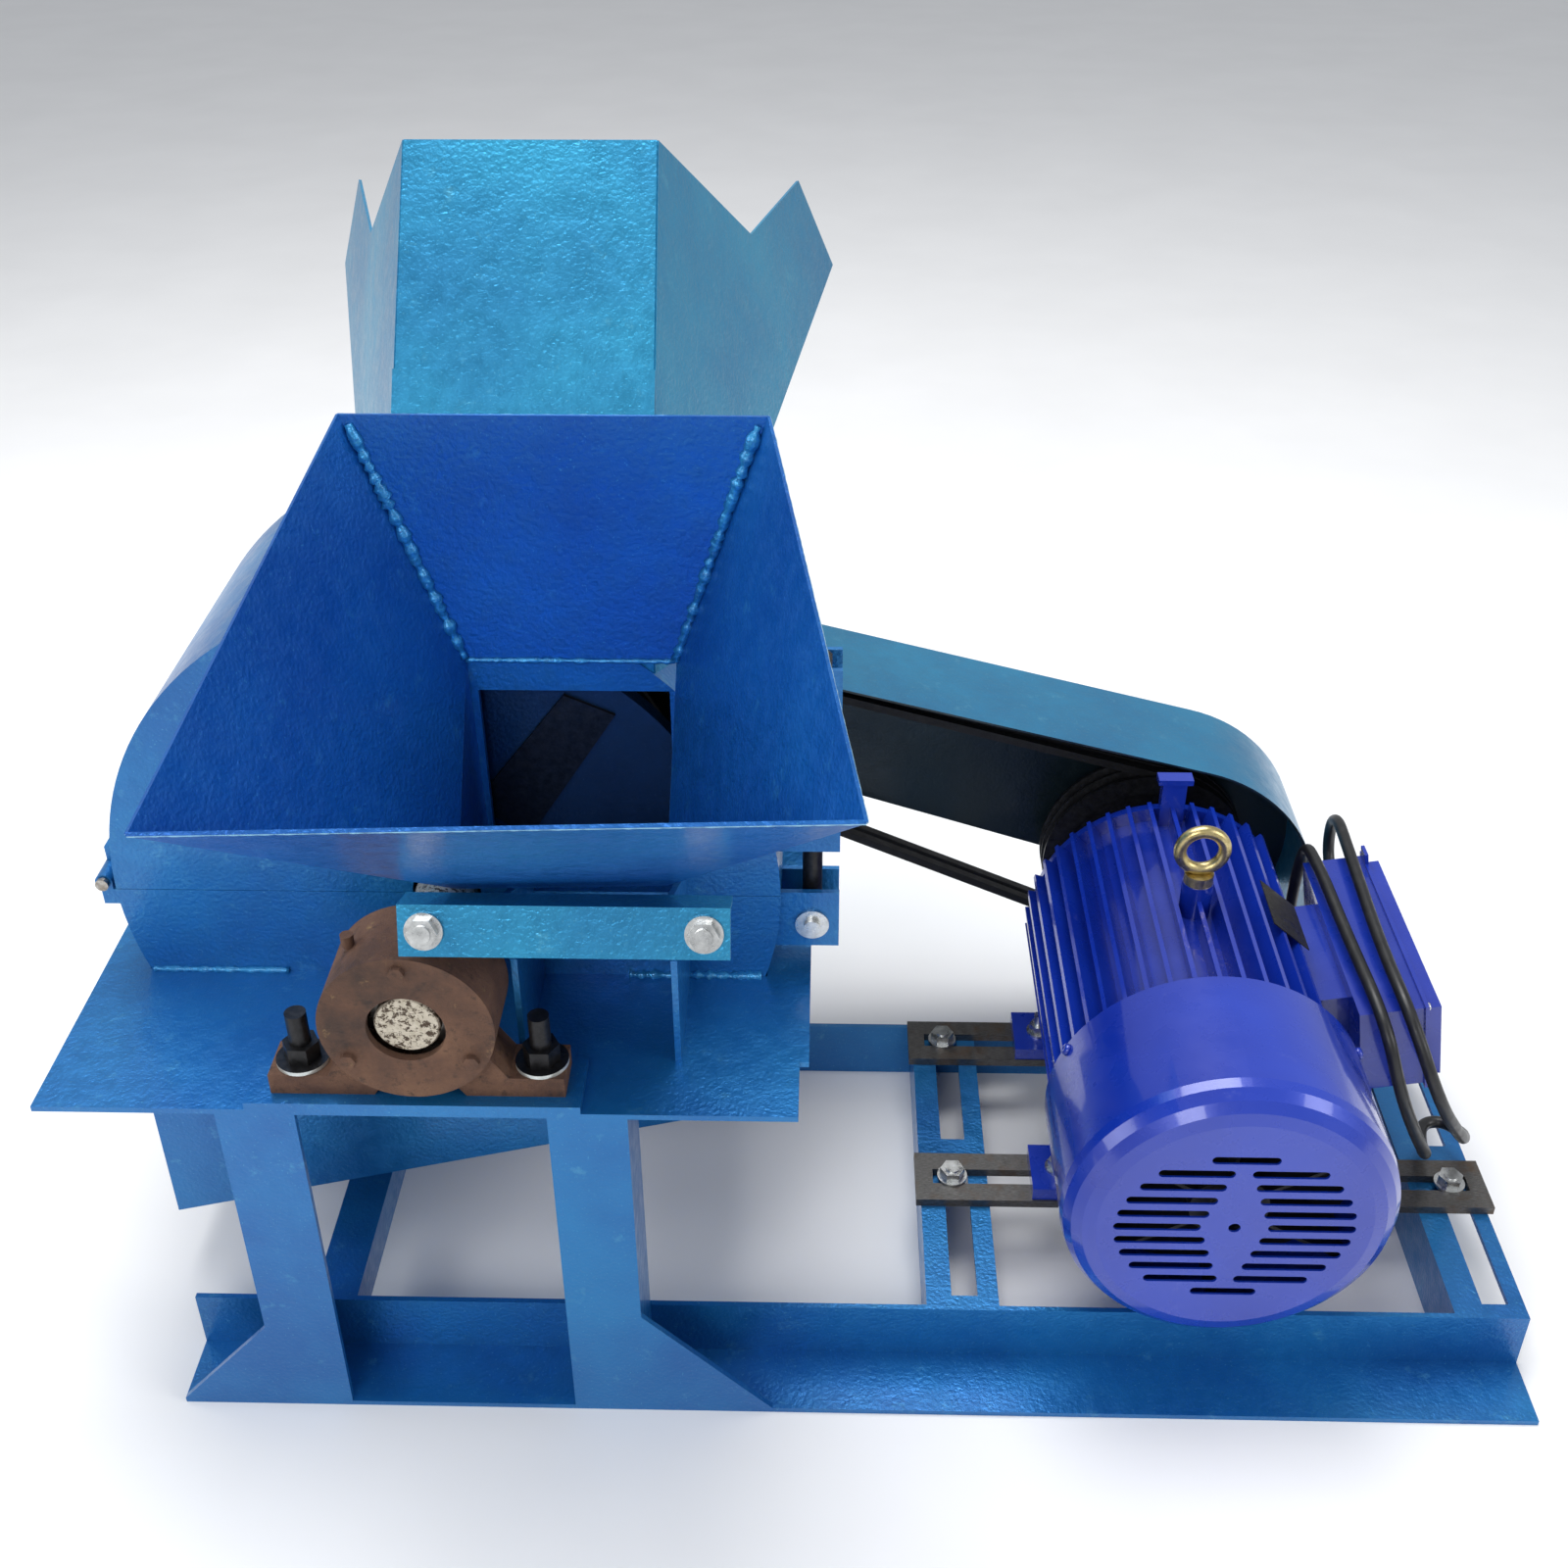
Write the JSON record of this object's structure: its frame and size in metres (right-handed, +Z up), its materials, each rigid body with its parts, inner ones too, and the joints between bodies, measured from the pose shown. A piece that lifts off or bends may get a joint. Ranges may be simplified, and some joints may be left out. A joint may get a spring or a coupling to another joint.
{
  "type": "hammer mill",
  "caption": "Electric hammer mill with a chipping disc: steel drum with hinged cover, two sheet hoppers, lower chute, belt drive under a guard and a motor on an angle-steel base.",
  "frame": {"origin": "centre of the machine's outline on the floor under the base rails", "axes": "+Z up, +X from the mill drum towards the motor, the feeding hopper's open side and the motor's fan face -Y, the belt guard is at +Y"},
  "size_m": [1.488, 1.0138, 1.1769],
  "materials": {
    "blue_hammertone": "hammertone, half gloss",
    "dark_steel": "raw mill scale",
    "zinc_steel": "zinc plated",
    "bright_steel": "turned and ground",
    "rusty_casting": "brown surface rust",
    "pulley_iron": "turned, dark",
    "belt_rubber": "matt",
    "motor_paint": "gloss",
    "cable_rubber": "satin",
    "black_plastic": "moulded",
    "yellow_zinc": "yellow passivated",
    "plate_alloy": "blank etched plate"
  },
  "bodies": {
    "base": {"front_rail": "blue_hammertone", "rear_rail": "blue_hammertone", "base_cross_member": "blue_hammertone", "motor_crossbars": "blue_hammertone", "front_legs": "blue_hammertone", "rear_legs": "blue_hammertone", "leg_gussets": "blue_hammertone", "deck_plates": "blue_hammertone", "deck_middle_plates": "blue_hammertone", "bearing_sole_plates": "blue_hammertone", "lower_housing": "blue_hammertone", "screen": "dark_steel", "discharge_chute": "blue_hammertone", "hinge_pins": "zinc_steel", "latch_lower_clevises": "blue_hammertone", "latch_pins": "zinc_steel", "throat_supports": "blue_hammertone", "throat_bar": "blue_hammertone", "throat_bar_bolts": "zinc_steel", "bearing_housings": "rusty_casting", "bearing_covers": "rusty_casting", "bearing_cover_bolts": "zinc_steel", "bearing_rings": "bright_steel", "bearing_bolts": "zinc_steel", "v_belts": "belt_rubber", "belt_guard": "blue_hammertone", "motor_slide_bars": "dark_steel", "slide_bar_bolts": "zinc_steel"},
    "cover": {"upper_housing": "blue_hammertone", "latch_upper_clevises": "blue_hammertone", "front_hopper": "blue_hammertone", "top_hopper": "blue_hammertone", "top_neck": "blue_hammertone", "bed_knife": "bright_steel"},
    "latch_bolt_front": {"swing_bolt_front": "dark_steel"},
    "rotor": {"bearing_inner_rings": "bright_steel", "rotor_shaft": "bright_steel", "rotor_discs": "dark_steel", "chipper_disc": "dark_steel", "chipper_knives": "bright_steel", "hammer_pins": "dark_steel", "mill_pulley": "pulley_iron"},
    "hammers_a": {"hammers_row_a": "dark_steel"},
    "hammers_b": {"hammers_row_b": "dark_steel"},
    "hammers_c": {"hammers_row_c": "dark_steel"},
    "hammers_d": {"hammers_row_d": "dark_steel"},
    "motor": {"motor_frame": "motor_paint", "motor_end_shields": "motor_paint", "fan_cover": "motor_paint", "terminal_box": "motor_paint", "terminal_box_lid": "motor_paint", "cable_gland": "black_plastic", "motor_nameplate": "plate_alloy", "motor_eyebolt": "yellow_zinc", "motor_foot_bolts": "zinc_steel", "power_cable": "cable_rubber"},
    "motor_rotor": {"motor_rotor_shaft": "bright_steel", "cooling_fan": "black_plastic", "motor_pulley": "pulley_iron"}
  },
  "joints": [
    {"name": "rotor_spin", "type": "hinge", "parent": "base", "child": "rotor", "pos_m": [-0.381, -0.0076, 0.52], "axis": [0, 1, 0], "continuous": true},
    {"name": "hammer_row_a_swing", "type": "hinge", "parent": "rotor", "child": "hammers_a", "pos_m": [-0.24665, 0.0634, 0.65435], "axis": [0, 1, 0], "continuous": true},
    {"name": "hammer_row_b_swing", "type": "hinge", "parent": "rotor", "child": "hammers_b", "pos_m": [-0.51535, 0.0634, 0.65435], "axis": [0, 1, 0], "continuous": true},
    {"name": "hammer_row_c_swing", "type": "hinge", "parent": "rotor", "child": "hammers_c", "pos_m": [-0.51535, 0.0634, 0.38565], "axis": [0, 1, 0], "continuous": true},
    {"name": "hammer_row_d_swing", "type": "hinge", "parent": "rotor", "child": "hammers_d", "pos_m": [-0.24665, 0.0634, 0.38565], "axis": [0, 1, 0], "continuous": true},
    {"name": "motor_tension_slide", "type": "slide", "parent": "base", "child": "motor", "axis": [1, 0, 0], "range_m": [-0.01, 0.02], "deforming": ["v_belts"]},
    {"name": "motor_spin", "type": "hinge", "parent": "motor", "child": "motor_rotor", "pos_m": [0.399, 0.0634, 0.245], "axis": [0, 1, 0], "continuous": true},
    {"name": "cover_hinge", "type": "hinge", "parent": "base", "child": "cover", "pos_m": [-0.722, 0.0534, 0.528], "axis": [0, -1, 0], "range_deg": [0, 100]},
    {"name": "latch_front_swing", "type": "hinge", "parent": "base", "child": "latch_bolt_front", "pos_m": [-0.02, -0.0671, 0.474], "axis": [0, 1, 0], "range_deg": [0, 90]}
  ],
  "couplings": [
    {"joint": "motor_spin", "follows": "rotor_spin", "ratio": 0.4898}
  ]
}
